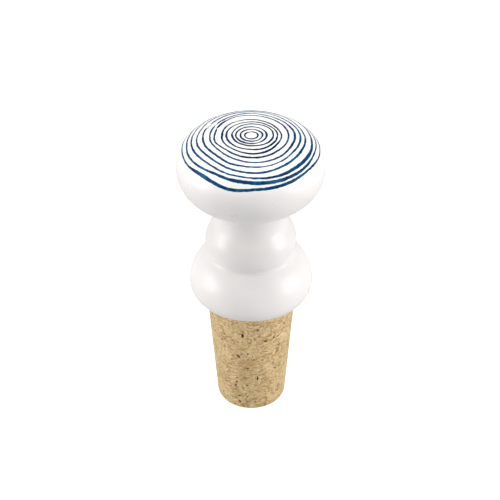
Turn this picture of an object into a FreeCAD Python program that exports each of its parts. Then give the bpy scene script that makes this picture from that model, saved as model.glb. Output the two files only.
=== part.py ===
import FreeCAD, Part
import math
import os

import Sketcher
from FreeCAD import Vector

# Bottle stopper: a turned, white glazed ceramic knob with hand-painted growth
# rings on its crown, pinned to a tapered stopper of pressed cork.
# Millimetres. The origin is the centre of the cork's flat end, +Z runs up the axis.

SIZES = {
    # cork
    "cork_length": 34.8,
    "cork_tip_diameter": 18.5,
    "cork_top_diameter": 23.8,
    "cork_tip_round": 1.1,
    "cork_top_bevel": 0.4,
    # knob, from the cork upwards
    "seat_diameter": 24.4,
    "bead_diameter": 32.7,
    "bead_rise": 4.2,
    "bead_shoulder_radius": 11.2,
    "groove_radius": 1.2,
    "collar_diameter": 24.06,
    "collar_rise": 12.7,
    "collar_foot_radius": 4.7,
    "collar_shoulder_radius": 8.2,
    "neck_cove_radius": 6.4,
    "head_diameter": 38.0,
    "head_rise": 22.5,
    "head_belly_radius": 8.5,
    "head_rim_radius": 8.8,
    "crown_radius": 80.0,
    # wooden pin that joins the two
    "pin_diameter": 8.0,
    "pin_in_cork": 20.0,
    "pin_in_knob": 20.0,
    "pin_bevel": 0.8,
    "pin_flute_count": 12,
    "pin_flute_radius": 0.5,
    "pin_flute_depth": 0.35,
    "pin_glue_gap": 0.05,
    "pin_end_gap": 0.6,
    "socket_mouth_bevel": 0.5,
    # painted growth rings, measured along the crown's surface from its top
    "paint_thickness": 0.06,
    "ring_border": 5.55,
    "ring_line_width": 0.50,
    "ring_wave": 1.0,
}

# Where the growth rings bulge or dip together, as round a knot in wood:
# direction in degrees from +X, spread in degrees, height as a share of the full wave.
RING_SWELLS = (
    (-76, 32, 0.95),
    (-140, 26, -0.8),
    (-28, 24, -0.25),
    (40, 30, -0.35),
    (98, 30, 0.2),
    (150, 30, -0.45),
)
# Each painted ring from the heart outwards: its distance as a share of the outermost
# ring's, its share of the common wave, how far its centre leans and which way, and how
# much wider the brush line is where it was pressed and in which direction.
RINGS = (
    (0.085, 0.05, 0.55, -70, 0.05, 170),
    (0.147, 0.05, 0.45, -65, 0.08, -120),
    (0.208, 0.05, 0.30, -60, 0.12, -105),
    (0.274, 0.00, 0.60, 0, 0.16, -100),
    (0.345, 0.10, 0.35, -35, 0.16, -80),
    (0.415, 0.50, 0.20, -90, 0.20, -75),
    (0.517, 0.65, 0.30, 85, 0.20, -80),
    (0.591, 0.85, 0.25, 5, 0.18, -35),
    (0.669, 0.85, 0.20, -45, 0.12, -150),
    (0.743, 0.80, 0.30, -85, 0.16, -70),
    (0.838, 0.70, 0.45, -45, 0.36, -30),
    (0.907, 0.30, 0.45, -55, 0.46, -88),
    (1.000, 0.45, 0.25, -95, 0.42, -85),
)
# Where one ring strays by itself: its number from the heart, direction and spread in
# degrees, height in millimetres.
RING_STRAYS = (
    (4, -152, 42, 0.18),
    (6, 180, 18, -0.45),
    (7, 172, 20, -0.40),
    (8, 178, 18, -0.36),
    (9, -115, 14, 0.28),
    (9, -66, 14, -0.22),
    (10, -112, 14, 0.28),
    (11, -99, 16, -0.30),
    (12, -156, 16, 0.40),
    (12, -124, 13, -0.45),
    (12, -64, 18, 0.20),
    (13, -139, 12, -0.32),
    (13, -108, 14, 0.60),
    (13, -62, 28, -0.27),
)
# The hand's tremble: height in millimetres, waves in a full turn, and how far round the
# waves start on each next ring, in radians.
RING_TREMBLES = ((0.10, 5, 1.7), (0.06, 8, 2.9))
STROKE_SWING = 0.15
STROKE_WAVES = 3
PRESS_SPREAD = 45
RING_POINTS = 60
COLUMN_SPARE = 1.0
FULL_TURN = 360.0


def make_sheet(doc):
    """Write every size into one sheet, a name and a number on each row."""
    sheet = doc.addObject("Spreadsheet::Sheet", "Sizes")
    for row, (name, value) in enumerate(SIZES.items(), start=1):
        sheet.set(f"A{row}", name)
        sheet.set(f"B{row}", str(value))
        sheet.setAlias(f"B{row}", name)
    doc.recompute()
    return sheet


def origin_plane(body, role):
    """A body's own origin plane or axis, found by its role."""
    for feature in body.Origin.OriginFeatures:
        if feature.Role == role:
            return feature
    raise LookupError(role)


def new_body(doc, name):
    body = doc.addObject("PartDesign::Body", name)
    body.Label = name
    return body


def new_sketch(body, name, role, height=None):
    """A sketch on an origin plane, raised along its normal by a sheet expression."""
    sketch = body.newObject("Sketcher::SketchObject", name)
    sketch.AttachmentSupport = [(origin_plane(body, role), "")]
    sketch.MapMode = "FlatFace"
    if height:
        sketch.setExpression("AttachmentOffset.Base.z", height)
    return sketch


def bind(sketch, name, expression, *constraint):
    """Add a dimension to a sketch and bind it to the sheet."""
    index = sketch.addConstraint(Sketcher.Constraint(*constraint))
    sketch.renameConstraint(index, name)
    sketch.setExpression(f"Constraints.{name}", expression)


def relate(sketch, *relations):
    """Add geometric relations that carry no size."""
    for relation in relations:
        sketch.addConstraint(Sketcher.Constraint(*relation))


def sketch_arc(centre, radius, start, end):
    """Counter-clockwise arc about centre, between two angles in radians."""
    circle = Part.Circle(Vector(centre[0], centre[1], 0), Vector(0, 0, 1), radius)
    return Part.ArcOfCircle(circle, start, end)


def sketch_line(start, end):
    return Part.LineSegment(Vector(start[0], start[1], 0), Vector(end[0], end[1], 0))


def direction(centre, point):
    return math.atan2(point[1] - centre[1], point[0] - centre[0])


def cove_centre(lower, lower_radius, upper, upper_radius, radius):
    """Centre of the hollow arc that touches two round forms on their outer side."""
    run = upper[0] - lower[0]
    rise = upper[1] - lower[1]
    span = math.hypot(run, rise)
    reach = lower_radius + radius
    along = (reach**2 - (upper_radius + radius) ** 2 + span**2) / (2 * span)
    aside = math.sqrt(reach**2 - along**2)
    return (
        lower[0] + (along * run + aside * rise) / span,
        lower[1] + (along * rise - aside * run) / span,
    )


def head_centres(size):
    """Heights and centres that the knob's head and its paint share."""
    head_height = size("cork_length") + size("bead_rise") + size("collar_rise") + size("head_rise")
    head_radius = size("head_diameter") / 2
    rim_centre = (head_radius - size("head_rim_radius"), head_height)
    inside = size("crown_radius") - size("head_rim_radius")
    crown_centre = (0.0, head_height - math.sqrt(inside**2 - rim_centre[0] ** 2))
    return head_radius, head_height, rim_centre, crown_centre


def draw_knob_outline(sketch, size):
    """Half outline of the knob: bead, groove, collar, neck, belly, rim and crown."""
    seat_height = size("cork_length")
    seat_radius = size("seat_diameter") / 2
    bead_radius = size("bead_diameter") / 2
    bead_height = seat_height + size("bead_rise")
    collar_radius = size("collar_diameter") / 2
    collar_height = bead_height + size("collar_rise")
    head_radius, head_height, rim_centre, crown_centre = head_centres(size)
    crown_radius = size("crown_radius")

    overhang = bead_radius - seat_radius
    foot_radius = (size("bead_rise") ** 2 + overhang**2) / (2 * overhang)
    foot_centre = (bead_radius - foot_radius, bead_height)
    shoulder_centre = (bead_radius - size("bead_shoulder_radius"), bead_height)
    collar_foot_centre = (collar_radius - size("collar_foot_radius"), collar_height)
    collar_top_centre = (collar_radius - size("collar_shoulder_radius"), collar_height)
    belly_centre = (head_radius - size("head_belly_radius"), head_height)
    groove_centre = cove_centre(
        shoulder_centre,
        size("bead_shoulder_radius"),
        collar_foot_centre,
        size("collar_foot_radius"),
        size("groove_radius"),
    )
    neck_centre = cove_centre(
        collar_top_centre,
        size("collar_shoulder_radius"),
        belly_centre,
        size("head_belly_radius"),
        size("neck_cove_radius"),
    )
    seat_edge = (seat_radius, seat_height)
    apex = (0.0, crown_centre[1] + crown_radius)
    rim_end = direction(crown_centre, rim_centre)

    seat = sketch.addGeometry(sketch_line((0, seat_height), seat_edge))
    foot = sketch.addGeometry(
        sketch_arc(foot_centre, foot_radius, direction(foot_centre, seat_edge), 0)
    )
    shoulder = sketch.addGeometry(
        sketch_arc(
            shoulder_centre, size("bead_shoulder_radius"), 0, direction(shoulder_centre, groove_centre)
        )
    )
    groove = sketch.addGeometry(
        sketch_arc(
            groove_centre,
            size("groove_radius"),
            direction(groove_centre, collar_foot_centre),
            direction(groove_centre, shoulder_centre) % math.tau,
        )
    )
    collar_foot = sketch.addGeometry(
        sketch_arc(
            collar_foot_centre, size("collar_foot_radius"), direction(collar_foot_centre, groove_centre), 0
        )
    )
    collar_top = sketch.addGeometry(
        sketch_arc(
            collar_top_centre, size("collar_shoulder_radius"), 0, direction(collar_top_centre, neck_centre)
        )
    )
    neck = sketch.addGeometry(
        sketch_arc(
            neck_centre,
            size("neck_cove_radius"),
            direction(neck_centre, belly_centre),
            direction(neck_centre, collar_top_centre) % math.tau,
        )
    )
    belly = sketch.addGeometry(
        sketch_arc(belly_centre, size("head_belly_radius"), direction(belly_centre, neck_centre), 0)
    )
    rim = sketch.addGeometry(sketch_arc(rim_centre, size("head_rim_radius"), 0, rim_end))
    crown = sketch.addGeometry(sketch_arc(crown_centre, crown_radius, rim_end, math.pi / 2))
    axis = sketch.addGeometry(sketch_line(apex, (0, seat_height)))

    start, end, middle = 1, 2, 3
    origin, upright = -1, -2
    relate(
        sketch,
        ("Coincident", axis, end, seat, start),
        ("PointOnObject", seat, start, upright),
        ("Vertical", axis),
        ("Horizontal", seat),
        ("Coincident", seat, end, foot, start),
        ("Tangent", foot, end, shoulder, start),
        ("Tangent", shoulder, end, groove, end),
        ("Tangent", groove, start, collar_foot, start),
        ("Tangent", collar_foot, end, collar_top, start),
        ("Tangent", collar_top, end, neck, end),
        ("Tangent", neck, start, belly, start),
        ("Tangent", belly, end, rim, start),
        ("Tangent", rim, end, crown, start),
        ("Coincident", crown, end, axis, start),
        ("PointOnObject", crown, middle, upright),
        ("Horizontal", foot, middle, foot, end),
        ("Horizontal", collar_foot, middle, collar_foot, end),
        ("Horizontal", belly, middle, belly, end),
    )
    bind(sketch, "seat_height", "Sizes.cork_length", "DistanceY", origin, 1, seat, start, seat_height)
    bind(sketch, "seat_radius", "Sizes.seat_diameter / 2", "DistanceX", seat, start, seat, end, seat_radius)
    bind(sketch, "bead_radius", "Sizes.bead_diameter / 2", "DistanceX", origin, 1, foot, end, bead_radius)
    bind(sketch, "bead_rise", "Sizes.bead_rise", "DistanceY", seat, end, foot, end, size("bead_rise"))
    bind(
        sketch, "collar_radius", "Sizes.collar_diameter / 2",
        "DistanceX", origin, 1, collar_foot, end, collar_radius,
    )
    bind(
        sketch, "collar_rise", "Sizes.collar_rise",
        "DistanceY", foot, end, collar_foot, end, size("collar_rise"),
    )
    bind(sketch, "head_radius", "Sizes.head_diameter / 2", "DistanceX", origin, 1, belly, end, head_radius)
    bind(sketch, "head_rise", "Sizes.head_rise", "DistanceY", collar_foot, end, belly, end, size("head_rise"))
    for name, curve in (
        ("bead_shoulder_radius", shoulder),
        ("groove_radius", groove),
        ("collar_foot_radius", collar_foot),
        ("collar_shoulder_radius", collar_top),
        ("neck_cove_radius", neck),
        ("head_belly_radius", belly),
        ("head_rim_radius", rim),
        ("crown_radius", crown),
    ):
        bind(sketch, name, f"Sizes.{name}", "Radius", curve, size(name))


def round_edge(body, feature_type, name, base, radius, height, setting, expression):
    """Fillet or bevel the circular edge of base that has this radius and height."""
    edge_name = find_circle(base.Shape, radius, height)
    feature = body.newObject(feature_type, name)
    feature.Base = (base, [edge_name])
    feature.setExpression(setting, expression)
    body.Tip = feature
    return feature


def find_circle(shape, radius, height):
    """Name of the full circular edge about the axis at this radius and height."""
    close = 1e-4
    for index, edge in enumerate(shape.Edges, start=1):
        curve = edge.Curve
        if not isinstance(curve, Part.Circle):
            continue
        if abs(curve.Radius - radius) < close and abs(curve.Center.z - height) < close:
            return f"Edge{index}"
    raise LookupError(f"no edge of radius {radius} at height {height}")


def make_knob(doc, size):
    """Ceramic knob: turned outline with a blind socket for the pin in its seat."""
    body = new_body(doc, "knob")
    outline = new_sketch(body, "knob_outline", "XZ_Plane")
    draw_knob_outline(outline, size)
    turned = body.newObject("PartDesign::Revolution", "knob_turned")
    turned.Profile = outline
    turned.ReferenceAxis = (outline, ["V_Axis"])
    turned.Angle = FULL_TURN
    doc.recompute()
    solid_volume = turned.Shape.Volume

    socket_radius = size("pin_diameter") / 2 + size("pin_glue_gap")
    circle = new_sketch(body, "socket_circle", "XY_Plane", "Sizes.cork_length")
    hole = circle.addGeometry(Part.Circle(Vector(0, 0, 0), Vector(0, 0, 1), socket_radius))
    relate(circle, ("Coincident", hole, 3, -1, 1))
    bind(
        circle, "socket_radius", "Sizes.pin_diameter / 2 + Sizes.pin_glue_gap",
        "Radius", hole, socket_radius,
    )
    socket = body.newObject("PartDesign::Pocket", "socket")
    socket.Profile = circle
    socket.Reversed = True
    socket.Type = "Length"
    socket.setExpression("Length", "Sizes.pin_in_knob + Sizes.pin_end_gap")
    body.Tip = socket
    doc.recompute()
    if not socket.Shape.Volume < solid_volume:
        raise ValueError("the socket removes nothing")

    round_edge(
        body, "PartDesign::Chamfer", "socket_mouth", socket,
        socket_radius, size("cork_length"), "Size", "Sizes.socket_mouth_bevel",
    )
    doc.recompute()
    return body


def make_cork(doc, size):
    """Tapered cork with a rounded tip edge and a blind bore for the pin."""
    body = new_body(doc, "cork")
    tip_radius = size("cork_tip_diameter") / 2
    top_radius = size("cork_top_diameter") / 2
    length = size("cork_length")
    corners = ((0, 0), (tip_radius, 0), (top_radius, length), (0, length))

    outline = new_sketch(body, "cork_outline", "XZ_Plane")
    tip, side, top, axis = (
        outline.addGeometry(sketch_line(corners[i], corners[(i + 1) % 4])) for i in range(4)
    )
    relate(
        outline,
        ("Coincident", tip, 1, -1, 1),
        ("Coincident", tip, 2, side, 1),
        ("Coincident", side, 2, top, 1),
        ("Coincident", top, 2, axis, 1),
        ("Coincident", axis, 2, tip, 1),
        ("Horizontal", tip),
        ("Horizontal", top),
        ("Vertical", axis),
    )
    bind(outline, "tip_radius", "Sizes.cork_tip_diameter / 2", "DistanceX", tip, 1, tip, 2, tip_radius)
    bind(outline, "top_radius", "Sizes.cork_top_diameter / 2", "DistanceX", top, 2, top, 1, top_radius)
    bind(outline, "length", "Sizes.cork_length", "DistanceY", axis, 2, axis, 1, length)
    turned = body.newObject("PartDesign::Revolution", "cork_turned")
    turned.Profile = outline
    turned.ReferenceAxis = (outline, ["V_Axis"])
    turned.Angle = FULL_TURN
    doc.recompute()

    rounded = round_edge(
        body, "PartDesign::Fillet", "cork_tip_edge", turned,
        tip_radius, 0, "Radius", "Sizes.cork_tip_round",
    )
    doc.recompute()
    bevelled = round_edge(
        body, "PartDesign::Chamfer", "cork_top_edge", rounded,
        top_radius, length, "Size", "Sizes.cork_top_bevel",
    )
    doc.recompute()
    plain_volume = bevelled.Shape.Volume

    bore_radius = size("pin_diameter") / 2 + size("pin_glue_gap")
    circle = new_sketch(body, "bore_circle", "XY_Plane", "Sizes.cork_length")
    ring = circle.addGeometry(Part.Circle(Vector(0, 0, 0), Vector(0, 0, 1), bore_radius))
    relate(circle, ("Coincident", ring, 3, -1, 1))
    bind(circle, "bore_radius", "Sizes.pin_diameter / 2 + Sizes.pin_glue_gap", "Radius", ring, bore_radius)
    doc.recompute()
    bore = body.newObject("PartDesign::Hole", "pin_bore")
    bore.Profile = circle
    bore.DepthType = "Dimension"
    bore.DrillPoint = "Flat"
    bore.setExpression("Diameter", "Sizes.pin_diameter + 2 * Sizes.pin_glue_gap")
    bore.setExpression("Depth", "Sizes.pin_in_cork + Sizes.pin_end_gap")
    body.Tip = bore
    doc.recompute()
    if not bore.Shape.Volume < plain_volume:
        raise ValueError("the bore removes nothing")
    return body


def make_pin(doc, size):
    """Wooden joining pin: bevelled ends and glue flutes along its length."""
    body = new_body(doc, "joining_pin")
    radius = size("pin_diameter") / 2
    low_end = "Sizes.cork_length - Sizes.pin_in_cork"
    low_height = size("cork_length") - size("pin_in_cork")
    length = size("pin_in_cork") + size("pin_in_knob")

    section = new_sketch(body, "pin_section", "XY_Plane", low_end)
    circle = section.addGeometry(Part.Circle(Vector(0, 0, 0), Vector(0, 0, 1), radius))
    relate(section, ("Coincident", circle, 3, -1, 1))
    bind(section, "pin_radius", "Sizes.pin_diameter / 2", "Radius", circle, radius)
    rod = body.newObject("PartDesign::Pad", "pin_rod")
    rod.Profile = section
    rod.setExpression("Length", "Sizes.pin_in_cork + Sizes.pin_in_knob")
    doc.recompute()

    ends = [find_circle(rod.Shape, radius, height) for height in (low_height, low_height + length)]
    bevels = body.newObject("PartDesign::Chamfer", "pin_ends")
    bevels.Base = (rod, ends)
    bevels.setExpression("Size", "Sizes.pin_bevel")
    body.Tip = bevels
    doc.recompute()
    plain_volume = bevels.Shape.Volume

    flute_out = radius + size("pin_flute_radius") - size("pin_flute_depth")
    notch = new_sketch(body, "flute_section", "XY_Plane", low_end)
    cutter = notch.addGeometry(
        Part.Circle(Vector(flute_out, 0, 0), Vector(0, 0, 1), size("pin_flute_radius"))
    )
    relate(notch, ("PointOnObject", cutter, 3, -1))
    bind(
        notch, "flute_out", "Sizes.pin_diameter / 2 + Sizes.pin_flute_radius - Sizes.pin_flute_depth",
        "DistanceX", -1, 1, cutter, 3, flute_out,
    )
    bind(notch, "flute_radius", "Sizes.pin_flute_radius", "Radius", cutter, size("pin_flute_radius"))
    flute = body.newObject("PartDesign::Pocket", "flute")
    flute.Profile = notch
    flute.Reversed = True
    flute.Type = "ThroughAll"
    body.Tip = flute
    doc.recompute()
    flutes = body.newObject("PartDesign::PolarPattern", "flutes")
    flutes.Originals = [flute]
    flutes.Axis = (notch, ["N_Axis"])
    flutes.Angle = FULL_TURN
    flutes.setExpression("Occurrences", "Sizes.pin_flute_count")
    body.Tip = flutes
    doc.recompute()
    if not flutes.Shape.Volume < flute.Shape.Volume < plain_volume:
        raise ValueError("the flutes remove nothing")
    return body


def make_paint_skin(doc, size):
    """Thin skin that follows the knob's rim and crown, as thick as the paint."""
    body = new_body(doc, "paint_skin")
    head_radius, head_height, rim_centre, crown_centre = head_centres(size)
    paint = size("paint_thickness")
    rim_radius = size("head_rim_radius")
    crown_radius = size("crown_radius")
    rim_end = direction(crown_centre, rim_centre)
    apex_height = crown_centre[1] + crown_radius
    equator = (head_radius, head_height)

    section = new_sketch(body, "skin_section", "XZ_Plane")
    rim = section.addGeometry(sketch_arc(rim_centre, rim_radius, 0, rim_end))
    crown = section.addGeometry(sketch_arc(crown_centre, crown_radius, rim_end, math.pi / 2))
    top = section.addGeometry(sketch_line((0, apex_height), (0, apex_height + paint)))
    outer_crown = section.addGeometry(
        sketch_arc(crown_centre, crown_radius + paint, rim_end, math.pi / 2)
    )
    outer_rim = section.addGeometry(sketch_arc(rim_centre, rim_radius + paint, 0, rim_end))
    foot = section.addGeometry(sketch_line(equator, (head_radius + paint, head_height)))
    start, end, middle = 1, 2, 3
    origin, upright = -1, -2
    relate(
        section,
        ("Tangent", rim, end, crown, start),
        ("Tangent", outer_rim, end, outer_crown, start),
        ("Coincident", crown, end, top, start),
        ("Coincident", top, end, outer_crown, end),
        ("Coincident", foot, start, rim, start),
        ("Coincident", foot, end, outer_rim, start),
        ("Coincident", rim, middle, outer_rim, middle),
        ("Coincident", crown, middle, outer_crown, middle),
        ("PointOnObject", crown, middle, upright),
        ("PointOnObject", top, start, upright),
        ("Vertical", top),
        ("Horizontal", foot),
        ("Horizontal", rim, middle, rim, start),
    )
    height = "Sizes.cork_length + Sizes.bead_rise + Sizes.collar_rise + Sizes.head_rise"
    bind(section, "head_radius", "Sizes.head_diameter / 2", "DistanceX", origin, 1, foot, start, head_radius)
    bind(section, "head_height", height, "DistanceY", origin, 1, foot, start, head_height)
    bind(section, "rim_radius", "Sizes.head_rim_radius", "Radius", rim, rim_radius)
    bind(section, "crown_radius", "Sizes.crown_radius", "Radius", crown, crown_radius)
    bind(section, "paint", "Sizes.paint_thickness", "DistanceX", foot, start, foot, end, paint)
    skin = body.newObject("PartDesign::Revolution", "skin_turned")
    skin.Profile = section
    skin.ReferenceAxis = (section, ["V_Axis"])
    skin.Angle = FULL_TURN
    doc.recompute()
    return body


def crown_distance_to_radius(size, distance):
    """Plan radius of the point this far from the crown's top along its surface."""
    _, _, rim_centre, crown_centre = head_centres(size)
    crown_radius = size("crown_radius")
    crown_angle = math.asin(rim_centre[0] / (crown_radius - size("head_rim_radius")))
    crown_length = crown_radius * crown_angle
    if distance <= crown_length:
        return crown_radius * math.sin(distance / crown_radius)
    angle = crown_angle + (distance - crown_length) / size("head_rim_radius")
    return rim_centre[0] + size("head_rim_radius") * math.sin(angle)


def crown_length_to_equator(size):
    """Length along the surface from the crown's top to the head's widest circle."""
    _, _, rim_centre, _ = head_centres(size)
    crown_angle = math.asin(rim_centre[0] / (size("crown_radius") - size("head_rim_radius")))
    rim_sweep = math.pi / 2 - crown_angle
    return size("crown_radius") * crown_angle + size("head_rim_radius") * rim_sweep


def bump(turn, centre, spread):
    """Smooth swelling of height 1 round a direction; turn in radians, the rest in degrees."""
    apart = (math.degrees(turn) - centre + FULL_TURN / 2) % FULL_TURN - FULL_TURN / 2
    return math.exp(-((apart / spread) ** 2))


def ring_distance(size, index, turn):
    """Distance of a painted ring's middle from the crown's top, along the surface."""
    share, wave_share, lean, lean_direction, _, _ = RINGS[index]
    reach = crown_length_to_equator(size) - size("ring_border")
    wave = sum(height * bump(turn, centre, spread) for centre, spread, height in RING_SWELLS)
    stray = sum(
        height * bump(turn, centre, spread)
        for number, centre, spread, height in RING_STRAYS
        if number == index + 1
    )
    tremble = sum(
        height * math.sin(waves * turn + start * index) for height, waves, start in RING_TREMBLES
    )
    wandered = size("ring_wave") * (wave_share * wave + stray + share * tremble)
    leaning = lean * math.cos(turn - math.radians(lean_direction))
    return share * reach + wandered + leaning


def ring_stroke(size, index, turn):
    """Width of the brush line at an angle: wider where the brush was pressed."""
    press, press_direction = RINGS[index][4:]
    unsteady = 1 + STROKE_SWING * math.sin(STROKE_WAVES * turn + index)
    return size("ring_line_width") * unsteady + press * bump(turn, press_direction, PRESS_SPREAD)


def closed_curve(points):
    curve = Part.BSplineCurve()
    curve.interpolate(Points=points, PeriodicFlag=True)
    return Part.Wire(curve.toShape())


def make_ring_columns(doc, size):
    """Upright wavy tubes, one for each ring, that cut the painted lines from the skin."""
    _, head_height, _, crown_centre = head_centres(size)
    top = crown_centre[1] + size("crown_radius") + COLUMN_SPARE
    columns = []
    for index in range(len(RINGS)):
        inner_points = []
        outer_points = []
        for step in range(RING_POINTS):
            turn = math.tau * step / RING_POINTS
            middle = ring_distance(size, index, turn)
            half = ring_stroke(size, index, turn) / 2
            for points, distance in ((inner_points, middle - half), (outer_points, middle + half)):
                radius = crown_distance_to_radius(size, distance)
                points.append(Vector(radius * math.cos(turn), radius * math.sin(turn), head_height))
        outer = Part.Face(closed_curve(outer_points))
        inner = Part.Face(closed_curve(inner_points))
        columns.append(outer.cut(inner).extrude(Vector(0, 0, top - head_height)))
    feature = doc.addObject("Part::Feature", "ring_columns")
    feature.Shape = Part.makeCompound(columns)
    return feature


def make_painted_rings(doc, size):
    """Painted growth rings: the paint skin kept only inside the wavy tubes."""
    skin = make_paint_skin(doc, size)
    columns = make_ring_columns(doc, size)
    rings = doc.addObject("Part::Common", "painted_rings")
    rings.Label = "painted_rings"
    rings.Base = skin
    rings.Tool = columns
    doc.recompute()
    if len(rings.Shape.Solids) != len(RINGS):
        raise ValueError(f"{len(rings.Shape.Solids)} painted rings instead of {len(RINGS)}")
    return rings


def check_document(doc):
    """Stop if any object of the document failed."""
    for item in doc.Objects:
        if "Invalid" in item.State or "Error" in item.State:
            raise ValueError(f"{item.Name} failed: {item.State}")


def check_and_export(parts):
    """Check every sub-part's shape before any file is written."""
    for part in parts:
        shape = part.Shape
        if shape.isNull() or not shape.isValid() or not shape.Solids:
            raise ValueError(f"{part.Label} has no valid solid")
    os.makedirs("parts", exist_ok=True)
    for part in parts:
        part.Shape.exportStep(f"parts/{part.Label}.step")
        print(part.Label, len(part.Shape.Solids), "solids", round(part.Shape.Volume, 3), "mm3")


def main():
    doc = FreeCAD.newDocument("bottle_stopper")
    size = make_sheet(doc).get
    parts = [
        make_knob(doc, size),
        make_cork(doc, size),
        make_pin(doc, size),
        make_painted_rings(doc, size),
    ]
    doc.recompute()
    check_document(doc)
    check_and_export(parts)


main()
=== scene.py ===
import math
import random

import bmesh
import bpy
from mathutils import Matrix, Vector, noise


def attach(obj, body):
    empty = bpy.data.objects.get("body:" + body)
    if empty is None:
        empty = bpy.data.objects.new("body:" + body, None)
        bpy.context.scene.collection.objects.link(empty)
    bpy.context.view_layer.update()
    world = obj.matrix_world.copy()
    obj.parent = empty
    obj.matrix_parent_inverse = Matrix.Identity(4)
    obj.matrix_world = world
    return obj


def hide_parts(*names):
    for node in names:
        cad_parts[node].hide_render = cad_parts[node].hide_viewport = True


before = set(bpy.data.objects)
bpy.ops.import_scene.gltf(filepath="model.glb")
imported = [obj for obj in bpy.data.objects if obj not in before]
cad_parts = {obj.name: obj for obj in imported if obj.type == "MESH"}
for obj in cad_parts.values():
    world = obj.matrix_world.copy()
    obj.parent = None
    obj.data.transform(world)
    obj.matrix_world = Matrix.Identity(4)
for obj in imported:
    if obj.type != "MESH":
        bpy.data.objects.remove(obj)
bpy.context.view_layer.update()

# Bottle stopper: a white glazed knob with growth rings painted on its crown by hand,
# pinned to a tapered stopper of pressed cork. The frame is in metres; the sizes below
# are in millimetres, the same as the part's own, and are turned to metres when used.

MM = 0.001
UP = Vector((0.0, 0.0, 1.0))
OUTLINE_TURN_AXIS = (0.0, -1.0, 0.0)
MERGE_DISTANCE = 1e-7

# cork
CORK_LENGTH = 34.8
CORK_TIP_RADIUS = 9.25
CORK_TOP_RADIUS = 11.9
CORK_TIP_ROUND = 1.1
CORK_TOP_BEVEL = 0.4
PIN_HOLE_RADIUS = 4.05
PIN_HOLE_DEPTH = 20.6
# knob, from the cork upwards
SEAT_RADIUS = 12.2
BEAD_RADIUS = 16.35
BEAD_HEIGHT = CORK_LENGTH + 4.2
BEAD_SHOULDER_RADIUS = 11.2
GROOVE_RADIUS = 1.2
COLLAR_RADIUS = 12.03
COLLAR_HEIGHT = BEAD_HEIGHT + 12.7
COLLAR_FOOT_RADIUS = 4.7
COLLAR_SHOULDER_RADIUS = 8.2
NECK_COVE_RADIUS = 6.4
HEAD_RADIUS = 19.0
HEAD_HEIGHT = COLLAR_HEIGHT + 22.5
HEAD_BELLY_RADIUS = 8.5
HEAD_RIM_RADIUS = 8.8
CROWN_RADIUS = 80.0
SOCKET_MOUTH_BEVEL = 0.5

# how finely the turned forms are drawn
KNOB_STEP = 0.36
GROOVE_STEP = KNOB_STEP / 3
KNOB_STEPS_ROUND = 256
CORK_STEP = 0.17
CORK_END_STEP = 0.6
CORK_STEPS_ROUND = 400
RING_STEPS_ROUND = 480
FEWEST_ARC_STEPS = 3

# how far the glaze's surface sinks under the true form, and how long its waves are
GLAZE_UNEVEN = 0.05
GLAZE_WAVE = 9.0
# turning marks: their depth, their spacing and where their noise is read
TURNING_RIDGE = 0.012
TURNING_RIDGE_SPACING = 1.1
TURNING_RIDGE_START = (3.1, 7.7)
# Within this share of the seat's radius lies the socket, which isn't glazed.
SOCKET_SHARE = 0.7

# the crown's own geometry
RIM_CENTRE = (HEAD_RADIUS - HEAD_RIM_RADIUS, HEAD_HEIGHT)
CROWN_REACH = CROWN_RADIUS - HEAD_RIM_RADIUS
CROWN_CENTRE_HEIGHT = HEAD_HEIGHT - math.sqrt(CROWN_REACH**2 - RIM_CENTRE[0] ** 2)
CROWN_CENTRE = (0.0, CROWN_CENTRE_HEIGHT)
CROWN_ANGLE = math.asin(RIM_CENTRE[0] / CROWN_REACH)
CROWN_LENGTH = CROWN_RADIUS * CROWN_ANGLE
LENGTH_TO_EQUATOR = CROWN_LENGTH + HEAD_RIM_RADIUS * (math.pi / 2 - CROWN_ANGLE)

# painted growth rings, measured along the crown's surface from its top
RING_BORDER = 5.55
RING_LINE_WIDTH = 0.50
PAINT_HEIGHT = 0.04
PAINT_ROOT = 0.05
BRUSH_RAGGEDNESS = 0.10
BRUSH_WOBBLES = 20.0
# Each ring and each of its edges reads its own part of the noise, so that none repeats.
RING_OWN_WOBBLE = 5.3
EDGE_OWN_WOBBLE = 9.1
WOBBLE_LEVEL = 0.7
# Space between the plain bands before each is bent to its line.
BAND_SPACING = 10.0
# How far round a pressed stroke reaches, in degrees.
PRESS_SPREAD = 45
# Where the growth rings bulge or dip together, as round a knot in wood:
# direction in degrees from +X, spread in degrees, height in millimetres.
RING_SWELLS = (
    (-76, 32, 0.95),
    (-140, 26, -0.8),
    (-28, 24, -0.25),
    (40, 30, -0.35),
    (98, 30, 0.2),
    (150, 30, -0.45),
)
# Each painted ring from the heart outwards: its distance as a share of the outermost
# ring's, its share of the common wave, how far its centre leans and which way, and how
# much wider the brush line is where it was pressed and in which direction.
RINGS = (
    (0.085, 0.05, 0.55, -70, 0.05, 170),
    (0.147, 0.05, 0.45, -65, 0.08, -120),
    (0.208, 0.05, 0.30, -60, 0.12, -105),
    (0.274, 0.00, 0.60, 0, 0.16, -100),
    (0.345, 0.10, 0.35, -35, 0.16, -80),
    (0.415, 0.50, 0.20, -90, 0.20, -75),
    (0.517, 0.65, 0.30, 85, 0.20, -80),
    (0.591, 0.85, 0.25, 5, 0.18, -35),
    (0.669, 0.85, 0.20, -45, 0.12, -150),
    (0.743, 0.80, 0.30, -85, 0.16, -70),
    (0.838, 0.70, 0.45, -45, 0.36, -30),
    (0.907, 0.30, 0.45, -55, 0.46, -88),
    (1.000, 0.45, 0.25, -95, 0.42, -85),
)
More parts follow.
